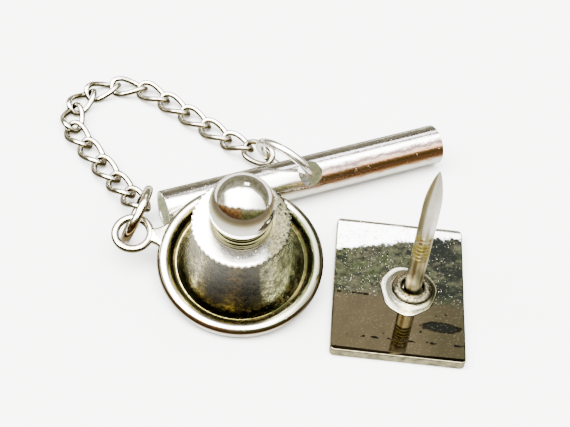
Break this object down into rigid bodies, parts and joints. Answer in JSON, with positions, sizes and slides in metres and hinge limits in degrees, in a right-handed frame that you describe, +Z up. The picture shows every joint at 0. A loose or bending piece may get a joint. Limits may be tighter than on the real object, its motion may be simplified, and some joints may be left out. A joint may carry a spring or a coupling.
{
  "type": "tie tack",
  "caption": "Tie tack: flat face plate with a pointed post, a pull-up ball clutch, and a curb chain from the clutch to a rolled T-bar.",
  "frame": {"origin": "middle of the layout's footprint, on the table it lies on", "axes": "+X across the layout from the chain to the pin, +Y away from the clutch towards the T-bar, +Z up along the pin's post"},
  "size_m": [0.0308, 0.0244, 0.0122],
  "materials": {
    "mirror_plate": "polished, pitted and tarnished",
    "solder": "bright, uneven",
    "flange_nickel": "plated, worn",
    "post_nickel": "polished",
    "rim_silver": "polished",
    "housing_nickel": "plated over a rough casting",
    "cap_silver": "satin",
    "collar_nickel": "plated",
    "ball_chrome": "mirror",
    "sleeve_brass": "machined",
    "lock_ball_steel": "ground",
    "seat_brass": "machined",
    "spring_steel": "drawn wire",
    "bar_chrome": "polished",
    "clutch_ring_nickel": "polished wire",
    "bar_ring_nickel": "polished wire",
    "chain_nickel": "polished wire"
  },
  "bodies": {
    "clutch": {"clutch_base": "rim_silver", "clutch_housing": "housing_nickel", "scalloped_cap": "cap_silver", "neck_collar": "collar_nickel", "cone_seat": "seat_brass", "clutch_spring": "spring_steel"},
    "knob": {"knob_ball": "ball_chrome", "plunger_sleeve": "sleeve_brass"},
    "lock_ball_1": {"lock_ball_1": "lock_ball_steel"},
    "lock_ball_2": {"lock_ball_2": "lock_ball_steel"},
    "lock_ball_3": {"lock_ball_3": "lock_ball_steel"},
    "pin": {"face_plate": "mirror_plate", "solder_pad": "solder", "post_flange": "flange_nickel", "pin_post": "post_nickel"},
    "clutch_ring": {"clutch_ring": "clutch_ring_nickel"},
    "link_01": {"chain_link_01": "chain_nickel"},
    "link_02": {"chain_link_02": "chain_nickel"},
    "link_03": {"chain_link_03": "chain_nickel"},
    "link_04": {"chain_link_04": "chain_nickel"},
    "link_05": {"chain_link_05": "chain_nickel"},
    "link_06": {"chain_link_06": "chain_nickel"},
    "link_07": {"chain_link_07": "chain_nickel"},
    "link_08": {"chain_link_08": "chain_nickel"},
    "link_09": {"chain_link_09": "chain_nickel"},
    "link_10": {"chain_link_10": "chain_nickel"},
    "link_11": {"chain_link_11": "chain_nickel"},
    "link_12": {"chain_link_12": "chain_nickel"},
    "link_13": {"chain_link_13": "chain_nickel"},
    "link_14": {"chain_link_14": "chain_nickel"},
    "link_15": {"chain_link_15": "chain_nickel"},
    "bar_ring": {"bar_ring": "bar_ring_nickel"},
    "toggle_bar": {"toggle_bar": "bar_chrome"}
  },
  "joints": [
    {"name": "knob_pull", "type": "slide", "parent": "clutch", "child": "knob", "axis": [-0.0094, -0.2631, 0.9647], "range_m": [0, 0.001], "stiffness_N_per_m": 120, "deforming": ["clutch_spring"]},
    {"name": "lock_ball_1_slide", "type": "slide", "parent": "knob", "child": "lock_ball_1", "axis": [0, 0.9648, 0.2631], "range_m": [0, 0.0002126]},
    {"name": "lock_ball_2_slide", "type": "slide", "parent": "knob", "child": "lock_ball_2", "axis": [-0.866, -0.4802, -0.1394], "range_m": [0, 0.0002126]},
    {"name": "lock_ball_3_slide", "type": "slide", "parent": "knob", "child": "lock_ball_3", "axis": [0.866, -0.4845, -0.1237], "range_m": [0, 0.0002126]},
    {"name": "pin_lift", "type": "slide", "parent": "clutch", "child": "pin", "axis": [0, 0, 1], "range_m": [0, 0.02]},
    {"name": "clutch_ring_turn", "type": "hinge", "parent": "clutch", "child": "clutch_ring", "pos_m": [-0.00805, -0.00561, 0.0019], "axis": [0, 0, 1], "range_deg": [0, 12]},
    {"name": "link_01_bend", "type": "hinge", "parent": "clutch_ring", "child": "link_01", "pos_m": [-0.00779, -0.00193, 0.00129], "axis": [0, 0, 1], "range_deg": [0, 12]},
    {"name": "link_02_bend", "type": "hinge", "parent": "link_01", "child": "link_02", "pos_m": [-0.00891, -0.00057, 0.00089], "axis": [0, 0, 1], "range_deg": [0, 12]},
    {"name": "link_03_bend", "type": "hinge", "parent": "link_02", "child": "link_03", "pos_m": [-0.01026, 0.00105, 0.0006], "axis": [0, 0, 1], "range_deg": [0, 12]},
    {"name": "link_04_bend", "type": "hinge", "parent": "link_03", "child": "link_04", "pos_m": [-0.01162, 0.00269, 0.00051], "axis": [0, 0, 1], "range_deg": [0, 12]},
    {"name": "link_05_bend", "type": "hinge", "parent": "link_04", "child": "link_05", "pos_m": [-0.01299, 0.00433, 0.00051], "axis": [0, 0, 1], "range_deg": [0, 12]},
    {"name": "link_06_bend", "type": "hinge", "parent": "link_05", "child": "link_06", "pos_m": [-0.01432, 0.00599, 0.00051], "axis": [0, 0, 1], "range_deg": [0, 12]},
    {"name": "link_07_bend", "type": "hinge", "parent": "link_06", "child": "link_07", "pos_m": [-0.0146, 0.0081, 0.00051], "axis": [0, 0, 1], "range_deg": [0, 12]},
    {"name": "link_08_bend", "type": "hinge", "parent": "link_07", "child": "link_08", "pos_m": [-0.01372, 0.01005, 0.00051], "axis": [0, 0, 1], "range_deg": [0, 12]},
    {"name": "link_09_bend", "type": "hinge", "parent": "link_08", "child": "link_09", "pos_m": [-0.01196, 0.01124, 0.00051], "axis": [0, 0, 1], "range_deg": [0, 12]},
    {"name": "link_10_bend", "type": "hinge", "parent": "link_09", "child": "link_10", "pos_m": [-0.00983, 0.01134, 0.00051], "axis": [0, 0, 1], "range_deg": [0, 2]},
    {"name": "link_11_bend", "type": "hinge", "parent": "link_10", "child": "link_11", "pos_m": [-0.00796, 0.0103, 0.00051], "axis": [0, 0, -1], "range_deg": [0, 2.5]},
    {"name": "link_12_bend", "type": "hinge", "parent": "link_11", "child": "link_12", "pos_m": [-0.0062, 0.00911, 0.00051], "axis": [0, 0, -1], "range_deg": [0, 3]},
    {"name": "link_13_bend", "type": "hinge", "parent": "link_12", "child": "link_13", "pos_m": [-0.00443, 0.00791, 0.00051], "axis": [0, 0, -1], "range_deg": [0, 4]},
    {"name": "link_14_bend", "type": "hinge", "parent": "link_13", "child": "link_14", "pos_m": [-0.00267, 0.00672, 0.00051], "axis": [0, 0, -1], "range_deg": [0, 5]},
    {"name": "link_15_bend", "type": "hinge", "parent": "link_14", "child": "link_15", "pos_m": [-0.00093, 0.00554, 0.00088], "axis": [0, 0, -1], "range_deg": [0, 6.5]},
    {"name": "bar_ring_turn", "type": "hinge", "parent": "link_15", "child": "bar_ring", "pos_m": [0.00053, 0.00455, 0.00127], "axis": [0, 0, -1], "range_deg": [0, 8]},
    {"name": "bar_swing", "type": "hinge", "parent": "bar_ring", "child": "toggle_bar", "pos_m": [0.0035, 0.00271, 0.00146], "axis": [0, 0, -1], "range_deg": [0, 10]}
  ],
  "couplings": [
    {"joint": "lock_ball_1_slide", "follows": "knob_pull", "ratio": 0.21256},
    {"joint": "lock_ball_2_slide", "follows": "knob_pull", "ratio": 0.21256},
    {"joint": "lock_ball_3_slide", "follows": "knob_pull", "ratio": 0.21256}
  ]
}
